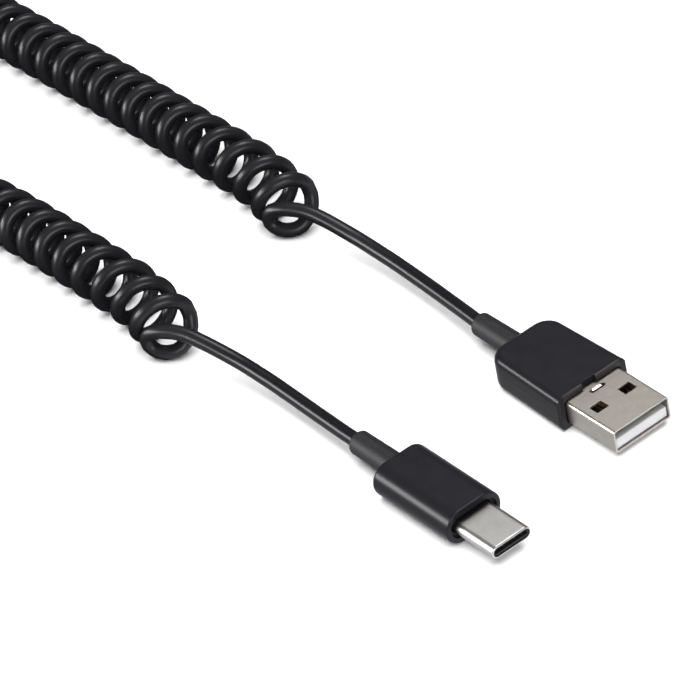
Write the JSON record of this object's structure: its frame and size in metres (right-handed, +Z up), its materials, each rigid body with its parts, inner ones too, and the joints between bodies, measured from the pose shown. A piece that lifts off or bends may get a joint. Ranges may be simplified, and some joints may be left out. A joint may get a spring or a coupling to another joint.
{
  "type": "coiled usb-c cable",
  "caption": "Curly black charging cable: a slightly stretched coil of thin glossy cord, a straight lead at each end, a wide flat plug on one and a small oval plug on the other.",
  "frame": {"origin": "On the floor, at the middle of the box round the two plugs and their strain reliefs", "axes": "+X is the way both plugs are pushed in, +Y runs from the small plug towards the wide one, +Z is up"},
  "size_m": [0.2073, 0.0505, 0.0105],
  "materials": {
    "body_plastic": "satin black",
    "relief_plastic": "matte black",
    "plated_steel": "nickel plated",
    "white_plastic": "satin white",
    "black_plastic": "black",
    "gold_plate": "gold plated",
    "cord_jacket": "glossy black jacket"
  },
  "bodies": {
    "root": {"a_body": "body_plastic", "a_strain_relief": "relief_plastic", "a_shell": "plated_steel", "a_insulator": "white_plastic", "a_contact_1": "gold_plate", "a_contact_2": "gold_plate", "a_contact_3": "gold_plate", "a_contact_4": "gold_plate", "c_body": "body_plastic", "c_strain_relief": "relief_plastic", "c_shell": "plated_steel", "c_insulator": "black_plastic", "c_lower_contact_1": "gold_plate", "c_lower_contact_2": "gold_plate", "c_lower_contact_3": "gold_plate", "c_lower_contact_4": "gold_plate", "c_upper_contact_1": "gold_plate", "c_upper_contact_2": "gold_plate", "c_upper_contact_3": "gold_plate", "c_upper_contact_4": "gold_plate", "a_lead": "cord_jacket", "coil": "cord_jacket", "c_lead": "cord_jacket"}
  },
  "joints": []
}
